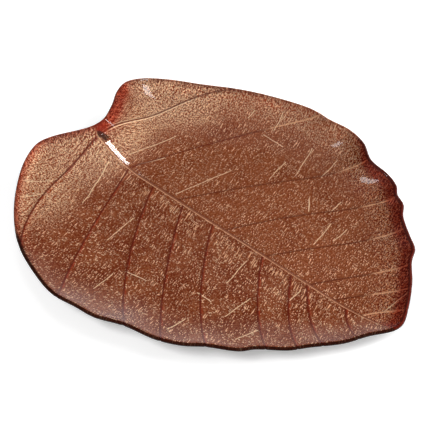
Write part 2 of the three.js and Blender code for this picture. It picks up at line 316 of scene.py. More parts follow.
def lay_patch(name, points, count, along, gap, groove, ridge):
    """Adds a grid primitive and lays its points on the leaf. Arrays have one value for each grid point."""
    columns, rows = points.shape[0] - 1, points.shape[1] - 1
    bpy.ops.object.select_all(action="DESELECT")
    bpy.ops.mesh.primitive_grid_add(x_subdivisions=columns, y_subdivisions=rows, size=1, calc_uvs=True)
    patch = bpy.context.object
    patch.name = name
    mesh = patch.data
    place = np.empty(len(mesh.vertices) * 3)
    mesh.vertices.foreach_get("co", place)
    place = place.reshape(-1, 3)
    i = np.round((place[:, 0] + 0.5) * columns).astype(int)
    j = np.round((place[:, 1] + 0.5) * rows).astype(int)
    x, y = points[i, j, 0], points[i, j, 1]
    distance = margin_distance(x, y)
    z = dish_height(x, y, distance)
    place = np.stack([x - middle[0], y - middle[1], z], 1) * MM
    mesh.vertices.foreach_set("co", place.ravel())
    thinner = EDGE_THIN * np.clip(1 - distance / EDGE_THIN_WIDTH, 0, 1) ** 2
    for attribute, values in (("groove", groove[i, j] + thinner), ("ridge", ridge[i, j])):
        mesh.attributes.new(attribute, "FLOAT", "POINT").data.foreach_set("value", values)
    corner = np.empty(len(mesh.loops), int)
    mesh.loops.foreach_get("vertex_index", corner)
    veins = np.stack([count[i, j], along[i, j]], 1)[corner]
    gaps = np.stack([gap[i, j], distance], 1)[corner]
    mesh.uv_layers[0].name = "veins"
    mesh.uv_layers["veins"].uv.foreach_set("vector", veins.ravel())
    mesh.uv_layers.new(name="gaps").uv.foreach_set("vector", gaps.ravel())
    mesh.update()
    if np.mean([face.normal.z for face in mesh.polygons]) < 0:
        mesh.flip_normals()
    print(name, len(mesh.vertices), "points")
    return patch


# %% [markdown]
# ## The two sides
# The upper side counts its veins from 0 and the lower side from 20, so a material can tell them apart by
# one number. The groove is measured square to the nearest vein, which keeps its width even where the
# lines fan out.

# %% Lay the two sides
ROWS = 64
LOWER_COUNT = 20
patches = []
first_lines = {}
for side, first_count in (("upper", 0), ("lower", LOWER_COUNT)):
    points = vein_points(side, starts, ROWS)
    along = length_along(points)
    crest = np.array(plans[side]["crest"])
    number = np.interp(starts, crest, np.arange(len(crest)))
    nearest = crest[np.minimum(np.round(number).astype(int), len(crest) - 2)]
    crest_points = vein_points(side, nearest, ROWS)
    way = np.gradient(crest_points, axis=1)
    way /= np.maximum(np.linalg.norm(way, axis=2), LEAST_OFFSET)[:, :, None]
    apart = points - crest_points
    gap = np.abs(apart[:, :, 0] * way[:, :, 1] - apart[:, :, 1] * way[:, :, 0])
    groove = VEIN_DEPTH * groove_shape(gap, VEIN_WIDTH / 2)
    count = np.repeat(first_count + number[:, None], ROWS + 1, 1)
    patches.append(lay_patch(side + "_side", points, count, along, gap, groove, gap * 0))
    first_lines[side] = points[0]

# %% [markdown]
# ## The midrib and the stem
# The midrib is one band with a groove below. Over its start stands the stem, a low ridge that leans to
# one side, so that one of its two slopes catches the light. The band's end at the notch is a single
# point.

# %% Lay the midrib and the stem's end
MIDRIB_ROWS = 10
MIDRIB_COUNT = 40
across = np.linspace(-1, 1, MIDRIB_ROWS + 1)
half = midrib_half(starts)
points = np.stack(np.broadcast_arrays(starts[:, None], half[:, None] * across), -1)
profile = groove_shape(np.abs(across), 1)[None, :]
wedge = RIDGE_SLOPE * np.interp(across, (-1, RIDGE_CREST, 1), (0, 1 + RIDGE_CREST, 0))[None, :]
taper = (half / (MIDRIB_WIDTH / 2))[:, None]
rise = np.interp(starts, RIDGE_PLACES, RIDGE_SHARES)
count = np.broadcast_to(MIDRIB_COUNT + 0.5 + across / 2, points.shape[:2])
along = np.broadcast_to(starts[:, None], points.shape[:2])
gap = np.full(points.shape[:2], MIDRIB_WIDTH)
groove = MIDRIB_DEPTH * taper * profile
ridge = (half * rise)[:, None] * wedge
patches.append(lay_patch("midrib", points, count, along, gap, groove, ridge))

stem_end = np.stack([np.tile(inset[0], (MIDRIB_ROWS + 1, 1)), points[0]])
end_groove = np.stack([groove[0] * 0, groove[0]])
end_ridge = np.stack([ridge[0] * 0, ridge[0]])
patches.append(lay_patch("stem_end", stem_end, count[:2], along[:2], gap[:2], end_groove, end_ridge))

# %% [markdown]
# ## The lobes
# Behind the first vein the leaf swells into a lobe on each side. Its lines run from that vein out to the
# margin and crowd there, where the dish is steepest.

# %% Lay the lobes
LOBE_ROWS = 18
LOBE_COUNT = 60
LOBE_CROWDING = 1.2
OUTER_VEIN_GAP = 15.0
t = 1 - (1 - np.linspace(0, 1, LOBE_ROWS + 1)[None, :, None]) ** LOBE_CROWDING
for side, first_count in (("upper", LOBE_COUNT), ("lower", LOBE_COUNT + LOWER_COUNT)):
    first_vein = np.concatenate([inset[:1], first_lines[side]])
    place = length_along(first_vein[None])[0]
    margin = margin_point(side, place / place[-1] * plans[side]["reach"][0])
    points = first_vein[:, None] * (1 - t) + margin[:, None] * t
    along = length_along(points)
    count = np.repeat(first_count + place[:, None] / OUTER_VEIN_GAP, LOBE_ROWS + 1, 1)
    gap = along + VEIN_WIDTH / 2
    patches.append(lay_patch(side + "_lobe", points, count, along, gap, along * 0, along * 0))

# %% [markdown]
# ## One sheet from the patches
# Joining the patches and merging the points that lie on each other closes the seams along the first veins
# and the midrib. The grids end in single points at the notch and the tip, and the merge closes those
# poles too.

# %% Join the patches
MERGE = 0.02 * MM


def activate(piece):
    """Makes one object the only selected and active one."""
    bpy.ops.object.select_all(action="DESELECT")
    piece.select_set(True)
    bpy.context.view_layer.objects.active = piece


activate(patches[0])
for patch in patches[1:]:
    patch.select_set(True)
bpy.ops.object.join()
sheet = bpy.context.object
sheet.name = "leaf_sheet"
bpy.ops.object.mode_set(mode="EDIT")
bpy.ops.mesh.select_all(action="SELECT")
bpy.ops.mesh.remove_doubles(threshold=MERGE)
bpy.ops.mesh.dissolve_degenerate(threshold=MERGE / 10)
bpy.ops.object.mode_set(mode="OBJECT")
loose = [edge for edge in sheet.data.edges if edge.is_loose]
print("sheet:", len(sheet.data.polygons), "faces and", len(loose), "loose edges")

# %% [markdown]
# ## The glass
# Pressed glass is one thick wall. Solidify gives the sheet its wall, straight down from the top face. The
# veins are pressed up into the underside only, because the real top is smooth there. The stem stands up
# from the top, and the underside rises a little at the rim, so that the edge is slimmer than the floor.

# %% Thicken the sheet into glass


def copy_of(piece, name):
    """A copy with its own mesh, selected and active."""
    twin = piece.copy()
    twin.data = piece.data.copy()
    twin.name = name
    bpy.context.collection.objects.link(twin)
    activate(twin)
    return twin


def vectors_of(mesh, name):
    """The places or the smooth directions of all points of a mesh."""
    values = np.empty(len(mesh.vertices) * 3)
    mesh.vertices.foreach_get(name, values)
    return values.reshape(-1, 3)


def values_of(mesh, name):
    """One of a mesh's point attributes as an array."""
    values = np.empty(len(mesh.vertices))
    mesh.attributes[name].data.foreach_get("value", values)
    return values


def thicken(piece, depth, offset):
    """Gives a sheet a wall. An offset of -1 grows it inwards and 1 outwards."""
    activate(piece)
    wall = piece.modifiers.new("wall", "SOLIDIFY")
    wall.thickness = depth * MM
    wall.offset = offset
    bpy.ops.object.modifier_apply(modifier=wall.name)


upright = vectors_of(sheet.data, "normal")
count = len(upright)
glass = copy_of(sheet, "clear_glass_leaf")
thicken(glass, GLASS, -1)
place = vectors_of(glass.data, "co")
place[:count] += upright * values_of(sheet.data, "ridge")[:, None] * MM
place[count:] += upright * values_of(sheet.data, "groove")[:, None] * MM
glass.data.vertices.foreach_set("co", place.ravel())
print("glass:", len(glass.data.polygons), "faces")

# %% [markdown]
# ## The edge of the glass
# The edge is rounded by the fire. Solidify left one short edge from top to bottom at each point of the
# rim. These edges are cut into eight, and an attribute that runs from 0 on top to 1 below tells how far
# down each new point is.

# %% Cut the edge of the glass
EDGE_STEPS = 7
rim_pairs = [edge.index for edge in glass.data.edges if abs(edge.vertices[0] - edge.vertices[1]) == count]
down = np.concatenate([np.zeros(count), np.ones(count)])
twin = np.concatenate([np.arange(count), np.arange(count)]).astype(float)
for name, values in (("down", down), ("twin", twin)):
    glass.data.attributes.new(name, "FLOAT", "POINT").data.foreach_set("value", values)
activate(glass)
bpy.ops.object.mode_set(mode="EDIT")
bpy.ops.mesh.select_mode(type="EDGE")
bpy.ops.mesh.select_all(action="DESELECT")
bpy.ops.object.mode_set(mode="OBJECT")
for index in rim_pairs:
    glass.data.edges[index].select = True
bpy.ops.object.mode_set(mode="EDIT")
bpy.ops.mesh.subdivide(number_cuts=EDGE_STEPS, quadcorner="STRAIGHT_CUT")
bpy.ops.object.mode_set(mode="OBJECT")
print("rim:", len(rim_pairs), "places round")

# %% [markdown]
# ## A half round
# The new points swing out into half an ellipse between the top and the bottom of the wall. Outwards is
# the way from the inset margin to the outline, made square to the wall.

# %% Round the edge of the glass
place = vectors_of(glass.data, "co")
down = values_of(glass.data, "down")
twin = np.round(values_of(glass.data, "twin")).astype(int)
new = np.arange(2 * count, len(place))
near_margin = kdtree.KDTree(len(inset))
for index, (x, y) in enumerate(inset):
    near_margin.insert(((x - middle[0]) * MM, (y - middle[1]) * MM, 0), index)
near_margin.balance()
on_margin = [near_margin.find((place[index, 0], place[index, 1], 0))[1] for index in twin[new]]
out = np.concatenate([(outline - inset)[on_margin], np.zeros((len(new), 1))], 1)
wall = place[twin[new] + count] - place[twin[new]]
upright = wall / np.linalg.norm(wall, axis=1)[:, None]
out -= upright * (out * upright).sum(1)[:, None]
out /= np.linalg.norm(out, axis=1)[:, None]
turn = (np.pi * down[new])[:, None]
place[new] = place[twin[new]] + wall * (1 - np.cos(turn)) / 2 + out * EDGE_BULGE * MM * np.sin(turn)
glass.data.vertices.foreach_set("co", place.ravel())
glass.data.update()
print("rim:", len(new), "points moved out")

# %% [markdown]
# ## The two coats
# A coat of lacquer is a skin on what it covers. Each coat starts as a copy of the glass with its top
# faces deleted, so it follows every groove and wraps part of the way round the edge, where the spray
# reaches. The lacquer starts a hair inside the glass, because two faces at exactly the same place would
# flicker.

# %% Peel the coats off the glass
# Each coat: how far down the edge it begins, how far out of the glass it starts, and how deep it is
LACQUER_WRAP, LACQUER_START, LACQUER_DEPTH = 0.10, -0.06, LACQUER
SEAL_WRAP, SEAL_START, SEAL_DEPTH = 0.55, 0.27, 0.42
SMOOTH_UP_TO = math.radians(50)


def peel(name, wrap, start, depth):
    """A coat on the underside of the glass."""
    coat = copy_of(glass, name)
    mesh = coat.data
    above = values_of(mesh, "down") <= wrap
    place = vectors_of(mesh, "co") + vectors_of(mesh, "normal") * start * MM
    mesh.vertices.foreach_set("co", place.ravel())
    bpy.ops.object.mode_set(mode="EDIT")
    bpy.ops.mesh.select_mode(type="VERT")
    bpy.ops.mesh.select_all(action="DESELECT")
    bpy.ops.object.mode_set(mode="OBJECT")
    mesh.vertices.foreach_set("select", above)
    bpy.ops.object.mode_set(mode="EDIT")
    bpy.ops.mesh.delete(type="VERT")
    bpy.ops.object.mode_set(mode="OBJECT")
    thicken(coat, depth, 1)
    lowest = vectors_of(mesh, "co")[:, 2].min() / MM
    print(name, len(mesh.polygons), "faces, lowest at", round(lowest, 3), "mm")
    return coat


lacquer = peel("copper_lacquer_coat", LACQUER_WRAP, LACQUER_START, LACQUER_DEPTH)
seal = peel("back_seal_skin", SEAL_WRAP, SEAL_START, SEAL_DEPTH)
bpy.data.objects.remove(sheet)
for piece in (glass, lacquer, seal):
    activate(piece)
    bpy.ops.object.shade_smooth_by_angle(angle=SMOOTH_UP_TO)

# %% [markdown]
# ## A small kit for materials
# Every finish here is a chain of small nodes. These helpers add one node each and join it to what came
# before, so that a finish reads like a recipe.

# %% Helpers for nodes


def new_material(name):
    """An empty material and its node tree."""
    material = bpy.data.materials.new(name)
    material.use_nodes = True
    material.node_tree.nodes.clear()
    return material, material.node_tree


def feed(tree, socket, value):
    """Links a socket to another node's output, or sets it to a plain value."""
    if isinstance(value, bpy.types.NodeSocket):
        tree.links.new(value, socket)
    else:
        socket.default_value = value


def add(tree, kind, *inputs, out=0, **settings):
    """Adds a node, feeds its inputs in order and returns one of its outputs."""
    node = tree.nodes.new("ShaderNode" + kind)
    for name, value in settings.items():
        setattr(node, name, value)
    for socket, value in zip(node.inputs, inputs):
        feed(tree, socket, value)
    return node.outputs[out]


def parts(tree, vector):
    """The three numbers of a vector."""
    node = tree.nodes.new("ShaderNodeSeparateXYZ")
    tree.links.new(vector, node.inputs[0])
    return node.outputs


def math_node(tree, operation, *values):
    """The result of one sum."""
    return add(tree, "Math", *values, operation=operation)


def times(tree, first, *others):
    """All the values multiplied."""
    for other in others:
        first = math_node(tree, "MULTIPLY", first, other)
    return first


def most(tree, first, *others):
    """The largest of the values."""
    for other in others:
        first = math_node(tree, "MAXIMUM", first, other)
    return first


def without(tree, mask, strength=1.0):
    """1 away from a mask, and less on it by its strength."""
    return math_node(tree, "SUBTRACT", 1.0, times(tree, mask, strength))


def fade(tree, value, start, end, low=0.0, high=1.0):
    """Goes smoothly from low to high as the value goes from start to end."""
    return add(tree, "MapRange", value, start, end, low, high, interpolation_type="SMOOTHSTEP")


# %% [markdown]
# ## Colours, noise and the surface
# A Mix node has sockets for numbers, vectors and colours side by side, and the colour ones are found by
# their number. The surface shader joins everything at the end.

# %% Helpers for surfaces


def blend(tree, amount, first, second):
    """One colour over another."""
    node = tree.nodes.new("ShaderNodeMix")
    node.data_type = "RGBA"
    for number, value in ((0, amount), (6, first), (7, second)):
        feed(tree, node.inputs[number], value)
    return node.outputs[2]


def noise(tree, vector, scale, detail=2.0, distortion=0.0):
    """Soft random patches between 0 and 1."""
    node = tree.nodes.new("ShaderNodeTexNoise")
    for name, value in (("Vector", vector), ("Scale", scale), ("Detail", detail), ("Distortion", distortion)):
        feed(tree, node.inputs[name], value)
    return node.outputs[0]


def bump(tree, height, strength, distance):
    """The direction of a surface with a raised pattern."""
    node = tree.nodes.new("ShaderNodeBump")
    for name, value in (("Height", height), ("Strength", strength), ("Distance", distance)):
        feed(tree, node.inputs[name], value)
    return node.outputs[0]


def principled(tree, **inputs):
    """The surface shader with the inputs that are named, joined to an output."""
    shader = tree.nodes.new("ShaderNodeBsdfPrincipled")
    for name, value in inputs.items():
        feed(tree, shader.inputs[name.replace("_", " ")], value)
    output = tree.nodes.new("ShaderNodeOutputMaterial")
    tree.links.new(shader.outputs[0], output.inputs["Surface"])
    return shader, output


def coat_with(piece, material):
    """Gives a piece one material."""
    piece.data.materials.clear()
    piece.data.materials.append(material)
    print(piece.name, "gets", material.name, "with", len(material.node_tree.nodes), "nodes")


# %% [markdown]
# ## The copper lacquer
# What shows of the platter is the lacquer under the glass. It is built up in layers: a red-brown ground,
# a golden grain over it, and fine golden dots and lines between the veins. Much of the gold is painted
# light, the glints of the pressed relief, and several dark reds are painted shade in the grooves, on the
# right rim and at the edges. The colours are linear values, so they look darker as numbers than they do
# in the picture.

# %% Colours of the lacquer
GROUND_DARK = (0.165, 0.023, 0.005, 1)
GROUND_RED = (0.240, 0.052, 0.016, 1)
RIM_RED = (0.270, 0.044, 0.010, 1)
# Deep red paints shade on the right rim and on the wall by the notch
SHADE_DEEP_RED = (0.170, 0.012, 0.003, 1)
ORANGE_GOLD = (0.780, 0.300, 0.130, 1)
COPPER = (0.500, 0.185, 0.085, 1)
# Gold is partly the lacquer's own grain; gold, bright gold and cream also paint the glints and highlights of
# the relief
GOLD = (0.880, 0.490, 0.275, 1)
BRIGHT_GOLD = (1.000, 0.610, 0.370, 1)
CREAM = (1.000, 0.720, 0.460, 1)
ROSE_BROWN = (0.300, 0.105, 0.055, 1)
# Dark red is the pores and the red lines, and also paints the shadow beside each glint and the shade on the
# midrib's far edge. The vein reds paint shade in the grooves, the edge colours shade at the very edge, bright
# red a reflection on the veins' flanks and pit brown the shade in the stem's pits
DARK_RED = (0.105, 0.010, 0.003, 1)
GROOVE_SHADE_RED = (0.135, 0.012, 0.004, 1)
GROOVE_SHADE_BROWN = (0.125, 0.022, 0.009, 1)
EDGE_SHADE_RED = (0.090, 0.008, 0.004, 1)
REFLECTION_RED = (0.300, 0.032, 0.011, 1)
EDGE_SHADE_BROWN = (0.014, 0.004, 0.003, 1)
PIT_SHADE_BROWN = (0.035, 0.010, 0.004, 1)
STEM_ORANGE = (0.380, 0.070, 0.017, 1)
MARGIN_TINT = (0.62, 0.13, 0.09)

# %% [markdown]
# ## Where a point lies on the leaf
# Every pattern of the lacquer has to know where it is: how far along the midrib and off it, which side
# vein it is near, and how far it is from that vein and from the margin. The first two come from the
# object's own coordinates, turned into millimetres, and the others from the two UV maps.

# %% Find a point's place on the leaf
OBJECT = 3
copper, tree = new_material("copper_lacquer_paint")
spot = add(tree, "TexCoord", out=OBJECT)
to_mm = (1 / MM, 1 / MM, 0)
leaf = add(tree, "VectorMath", spot, to_mm, (middle[0], middle[1], 0), operation="MULTIPLY_ADD")
leaf_x, leaf_y = parts(tree, leaf)[:2]
off_rib = math_node(tree, "ABSOLUTE", leaf_y)
is_upper = math_node(tree, "GREATER_THAN", leaf_y, 0.0)
is_lower = without(tree, is_upper)
vein, along = parts(tree, add(tree, "UVMap", uv_map="veins"))[:2]
gap, margin = parts(tree, add(tree, "UVMap", uv_map="gaps"))[:2]
across = math_node(tree, "FRACT", vein)
on_side = math_node(tree, "LESS_THAN", vein, MIDRIB_COUNT - 0.5)
on_lobe = math_node(tree, "GREATER_THAN", vein, LOBE_COUNT - 0.5)
on_rib = without(tree, math_node(tree, "ADD", on_side, on_lobe))

# %% [markdown]
# ## Regions of the leaf
# The lacquer isn't painted the same all over. Gold lies thick on the two lobes and along the far rim,
# which is painted light, for those slopes catch the lamps. A deep red on the rim to the right and on the
# wall by the notch is painted shade, and the floor is plainer. Each region is a soft mask. Two numbers
# tell where it fades, in millimetres from the margin or along the leaf.

# %% Mark the regions
LOBE_BAND, LOBE_END = (62.0, 28.0), (75.0, 20.0)
FAR_BAND, FAR_END = (34.0, 12.0), (260.0, 165.0)
RIGHT_BAND, RIGHT_START = (36.0, 14.0), (150.0, 220.0)
NOTCH_BAND, NOTCH_REACH = (26.0, 8.0), (70.0, 45.0)
NOTCH_CENTRE = (notch_x, 20.0, 0)
PAST_VEIN = (30.0, 50.0)

# Painted light: gold grain and glints lie thicker on the lobes and the far rim. Painted shade: the right rim
# and the notch wall
lobes = times(tree, fade(tree, margin, *LOBE_BAND), fade(tree, leaf_x, *LOBE_END))
far_rim = times(tree, fade(tree, margin, *FAR_BAND), is_upper, fade(tree, leaf_x, *FAR_END, 0.5, 1.0))
right_rim = times(tree, fade(tree, margin, *RIGHT_BAND), is_upper, fade(tree, leaf_x, *RIGHT_START))
from_notch = add(tree, "VectorMath", leaf, NOTCH_CENTRE, operation="DISTANCE", out=1)
by_notch = times(tree, fade(tree, from_notch, *NOTCH_REACH), is_upper)
notch_wall = times(tree, by_notch, fade(tree, margin, *NOTCH_BAND))
past_vein = times(tree, is_upper, on_side, fade(tree, margin, *PAST_VEIN))
golden = times(tree, lobes, without(tree, notch_wall, 0.85), without(tree, past_vein, 0.6))
dense = most(tree, golden, times(tree, far_rim, 0.28), times(tree, right_rim, 0.25))

# %% [markdown]
# ## Ground and grain
# The ground is a cloudy red-brown, and a deep red on the right rim and the notch wall is painted shade.
# Over it lies a golden grain, partly the lacquer's own gold and partly painted glints, thicker where the
# slopes catch the lamps. Brighter glitter on the lobes is painted glints, and small dark pores lie where
# the spray left gaps. All three are noise at about the size of a grain, cut to a threshold. Noise is
# counted in grains for each millimetre here, because the leaf's coordinates are millimetres.

# %% Lay the ground and the grain
CLOUD_SCALE = 0.035
GRAIN_SCALE, GRAIN_CUT = 0.62, (0.47, 0.56)
GLITTER_SCALE, GLITTER_CUT = 0.65, (0.53, 0.63)
PORE_SCALE, PORE_CUT = 0.9, (0.55, 0.63)
GRAIN_WARP = 0.3

cloud = noise(tree, leaf, CLOUD_SCALE, 3.0)
warmth = math_node(tree, "ADD", cloud, times(tree, is_upper, 0.16))
color = blend(tree, fade(tree, warmth, 0.40, 0.70), GROUND_DARK, GROUND_RED)
color = blend(tree, times(tree, most(tree, far_rim, lobes), 0.9), color, RIM_RED)
# Painted shade: a deep red on the right rim and the notch wall
color = blend(tree, times(tree, most(tree, right_rim, notch_wall), 0.95), color, SHADE_DEEP_RED)

# Partly painted glints: the grain is stronger on the lit slopes
grain = fade(tree, noise(tree, leaf, GRAIN_SCALE, 1.0, GRAIN_WARP), *GRAIN_CUT)
grain = times(tree, grain, fade(tree, dense, 0.0, 1.0, 0.50, 0.84), fade(tree, leaf_y, -20.0, 20.0, 0.75, 1.1))
grain_color = blend(tree, fade(tree, dense, 0.0, 0.6), COPPER, GOLD)
color = blend(tree, grain, color, blend(tree, right_rim, grain_color, ORANGE_GOLD))

# Painted glints: bright glitter on the lobes and the far rim
glitter = fade(tree, noise(tree, leaf, GLITTER_SCALE, 1.0, GRAIN_WARP), *GLITTER_CUT)
glitter = times(tree, glitter, most(tree, golden, times(tree, far_rim, 0.5)))
color = blend(tree, times(tree, glitter, 0.9), color, CREAM)

pores = fade(tree, noise(tree, leaf, PORE_SCALE, 1.0, GRAIN_WARP), *PORE_CUT)
color = blend(tree, times(tree, pores, fade(tree, dense, 0.0, 1.0, 0.42, 0.62)), color, DARK_RED)

# %% [markdown]
# ## Golden dots and dashes
# Under the glass the finest veins catch the light as rows of golden dots, and these are painted glints,
# so they run the way the light picks them out. A Voronoi texture cuts a plane into cells, and a dot in the
# middle of some cells looks scattered by hand but never bunches up. Cells that are longer along the run
# of the fine veins draw each dot out into a dash. A dark dot of painted shadow beside each golden one
# makes it look raised.

# %% Scatter dots and dashes
# Run of the painted glints below and above the midrib, in degrees, which follows the light
LOWER_RUN, UPPER_RUN = 73, 102
RUN_WAVE = 12.0
SHADE_SHIFT = 0.9
DOT_CELL, DOT_KEEP, DOT_SIZE = (1.1, 2.8), 0.52, 0.38
DASH_CELL, DASH_KEEP, DASH_SIZE = (2.6, 16.0), 0.55, 0.18


def stipple(tree, plane, cell, keep, size):
    """Dots in those cells of a plane whose random value passes keep, out to a share of the cell's size."""
    first, second = (times(tree, value, 1 / length) for value, length in zip(plane, cell))
    pattern = tree.nodes.new("ShaderNodeTexVoronoi")
    pattern.voronoi_dimensions = "2D"
    pattern.inputs["Scale"].default_value = 1.0
    tree.links.new(add(tree, "CombineXYZ", first, second), pattern.inputs["Vector"])
    chosen = fade(tree, pattern.outputs["Color"], keep, keep + 0.2)
    return times(tree, chosen, fade(tree, pattern.outputs["Distance"], size, size * 0.5))


slopes = [1 / math.tan(math.radians(angle)) for angle in (LOWER_RUN, UPPER_RUN)]
lean = times(tree, off_rib, fade(tree, leaf_y, -1.0, 1.0, *slopes))
sideways = math_node(tree, "SUBTRACT", leaf_x, lean)
beside = math_node(tree, "ADD", sideways, SHADE_SHIFT)
run = math_node(tree, "ADD", leaf_y, times(tree, noise(tree, leaf, 0.05, 1.0), RUN_WAVE))
# Painted shadow: a dark dot beside each glint
shade = stipple(tree, (beside, run), DOT_CELL, DOT_KEEP, DOT_SIZE)
color = blend(tree, times(tree, shade, 0.9), color, DARK_RED)
ladder = times(tree, is_lower, on_side, fade(tree, noise(tree, leaf, 0.035, 1.0), 0.45, 0.58))
# Painted glints: golden dots and dashes
dots = stipple(tree, (sideways, run), DOT_CELL, DOT_KEEP, DOT_SIZE)
dots = times(tree, dots, fade(tree, noise(tree, leaf, 0.03, 1.0), 0.35, 0.6, 0.65, 1.0))
dots = times(tree, dots, without(tree, fade(tree, ladder, 0.0, 1.0), 0.5))
color = blend(tree, dots, color, BRIGHT_GOLD)
dashes = stipple(tree, (sideways, run), DASH_CELL, DASH_KEEP, DASH_SIZE)
color = blend(tree, times(tree, dashes, 0.85), color, BRIGHT_GOLD)

# %% [markdown]
# ## Combs and ladders
# Below the midrib the fine veins stand close, like the teeth of a comb. Further out, some of them cross
# from one side vein to the next, like the rungs of a ladder. Those rows are laid in the count of veins,
# so they bend with the side veins. Their gold and cream are painted glints, like the dots.

# %% Add the combs and ladders
COMB_CELL, COMB_KEEP, COMB_SIZE = (2.0, 18.0), 0.34, 0.26
COMB_BAND, COMB_END = (30.0, 14.0), (305.0, 285.0)
ROW_CELL, ROW_KEEP, ROW_SIZE = (1 / 13, 1.9), 0.55, 0.30
ROW_SLANT = 18.0

comb = stipple(tree, (sideways, run), COMB_CELL, COMB_KEEP, COMB_SIZE)
comb = times(tree, comb, is_lower, fade(tree, off_rib, *COMB_BAND), fade(tree, leaf_x, *COMB_END))
color = blend(tree, times(tree, comb, 0.9), color, GOLD)
square_on = math_node(tree, "ADD", along, times(tree, vein, ROW_SLANT))
rows = stipple(tree, (vein, square_on), ROW_CELL, ROW_KEEP, ROW_SIZE)
color = blend(tree, times(tree, rows, ladder, 0.9), color, CREAM)

# %% [markdown]
# ## Single lines
# A few of the fine veins are long and bright enough to see one by one, and their cream is a painted glint
# along each. Each is a straight line between two points of the leaf, and a node group measures the
# distance to it, so one recipe serves all of them.
# A slow noise moves the lines a little to and fro, and a faster one breaks them up.

# %% Draw the single lines
LINE_HALF = 0.6
LINE_SWAY = 0.4
GOLD_LINES = [
    (25, -10, 50, -65), (100, -80, 95, -45), (140, -130, 135, -105), (140, -95, 160, -90), (200, -70, 215, -70),
    (215, -120, 215, -100), (210, -45, 205, -15), (235, -75, 235, -45), (260, -90, 265, -70),
    (260, -25, 260, -10), (30, 10, 40, 65), (45, 10, 55, 35), (100, 5, 115, 65), (80, 130, 80, 140),
    (110, 135, 105, 155), (105, 125, 130, 125), (150, 80, 145, 110), (165, 100, 155, 140), (185, 115, 185, 140),
    (205, 70, 195, 85), (220, 85, 220, 100), (235, 40, 230, 70), (245, 55, 245, 75), (325, 15, 330, 40),
    (5, -95, 15, -70), (20, -110, 25, -85),
]
RED_LINES = [(10, 90, 0, 105), (25, 105, 20, 120), (40, -125, 40, -110)]


def line_group():
    """A node group that is 1 on the line from one point to another and 0 away from it."""
    group = bpy.data.node_groups.new("leaf_line", "ShaderNodeTree")
    for name in ("Place", "From", "To"):
        group.interface.new_socket(name, in_out="INPUT", socket_type="NodeSocketVector")
    group.interface.new_socket("Mask", in_out="OUTPUT", socket_type="NodeSocketFloat")
    place, start, end = group.nodes.new("NodeGroupInput").outputs[:3]
    reach = add(group, "VectorMath", end, start, operation="SUBTRACT")
    from_start = add(group, "VectorMath", place, start, operation="SUBTRACT")
    passed = add(group, "VectorMath", from_start, reach, operation="DOT_PRODUCT", out=1)
    whole = add(group, "VectorMath", reach, reach, operation="DOT_PRODUCT", out=1)
    share = add(group, "Clamp", math_node(group, "DIVIDE", passed, whole))
    shares = add(group, "CombineXYZ", share, share, share)
    nearest = add(group, "VectorMath", reach, shares, operation="MULTIPLY")
    away = add(group, "VectorMath", from_start, nearest, operation="DISTANCE", out=1)
    mask = fade(group, away, LINE_HALF, LINE_HALF / 2)
    group.links.new(mask, group.nodes.new("NodeGroupOutput").inputs[0])
    return group


def draw_lines(tree, group, place, lines):
    """One mask for a whole list of lines."""
    masks = []
    for x0, y0, x1, y1 in lines:
        node = tree.nodes.new("ShaderNodeGroup")
        node.node_tree = group
        feed(tree, node.inputs["Place"], place)
        feed(tree, node.inputs["From"], (x0, y0, 0))
        feed(tree, node.inputs["To"], (x1, y1, 0))
        masks.append(node.outputs[0])
    return most(tree, *masks)


sway = fade(tree, noise(tree, leaf, 0.06, 1.0), 0.3, 0.7, -LINE_SWAY, LINE_SWAY)
wavy = add(tree, "VectorMath", leaf, add(tree, "CombineXYZ", sway, sway), operation="ADD")
leaf_line = line_group()
dotted = fade(tree, noise(tree, leaf, 0.6, 0.0), 0.30, 0.50, 0.5, 1.0)
lines = times(tree, draw_lines(tree, leaf_line, wavy, GOLD_LINES), dotted)
# Painted glints: cream along the single lines
color = blend(tree, times(tree, lines, 0.9), color, CREAM)
red_lines = draw_lines(tree, leaf_line, wavy, RED_LINES)
color = blend(tree, times(tree, red_lines, 0.6), color, DARK_RED)
print(len(GOLD_LINES), "golden lines and", len(RED_LINES), "red ones")

# %% [markdown]
# ## Side veins
# Each pressed groove is painted darker, as the shade in it. On the lower side each vein is a dark red line
# with bright red patches of painted reflection on one flank and golden dots of painted glint on the other.
# On the upper side it is a thin dark line that turns pale gold near the margin, and the first one has a
# cream flank, a painted highlight.

# %% Paint the veins
FLANK_START, FLANK_END = (0.7, 1.1), (2.1, 1.6)
GROOVE_BAND = (1.15, 0.5)
PALE_BAND, PALE_START = (34.0, 22.0), (60.0, 90.0)
BROWN_START = (70.0, 120.0)
FIRST_VEIN_END, FIRST_VEIN_SPAN = (120.0, 90.0), (0.9, 0.6)

is_after = math_node(tree, "LESS_THAN", across, 0.5)
is_before = without(tree, is_after)
flank = times(tree, fade(tree, gap, *FLANK_START), fade(tree, gap, *FLANK_END), on_side)
# Painted reflection: bright red patches on one flank of the lower veins
red_reflections = fade(tree, noise(tree, leaf, 0.10, 1.0), 0.45, 0.60)
color = blend(tree, times(tree, flank, is_after, is_lower, red_reflections, 0.8), color, REFLECTION_RED)
# Painted glints: golden dots on the other flank
color = blend(tree, times(tree, flank, is_before, is_lower, dots), color, GOLD)
first_vein = times(tree, fade(tree, along, *FIRST_VEIN_END), fade(tree, vein, *FIRST_VEIN_SPAN))
# Painted highlight: a cream flank on the first upper vein
color = blend(tree, times(tree, flank, is_after, is_upper, first_vein, dotted, 0.9), color, CREAM)
pale = times(tree, is_upper, fade(tree, margin, *PALE_BAND), fade(tree, leaf_x, *PALE_START))
groove = times(tree, fade(tree, gap, *GROOVE_BAND), on_side)
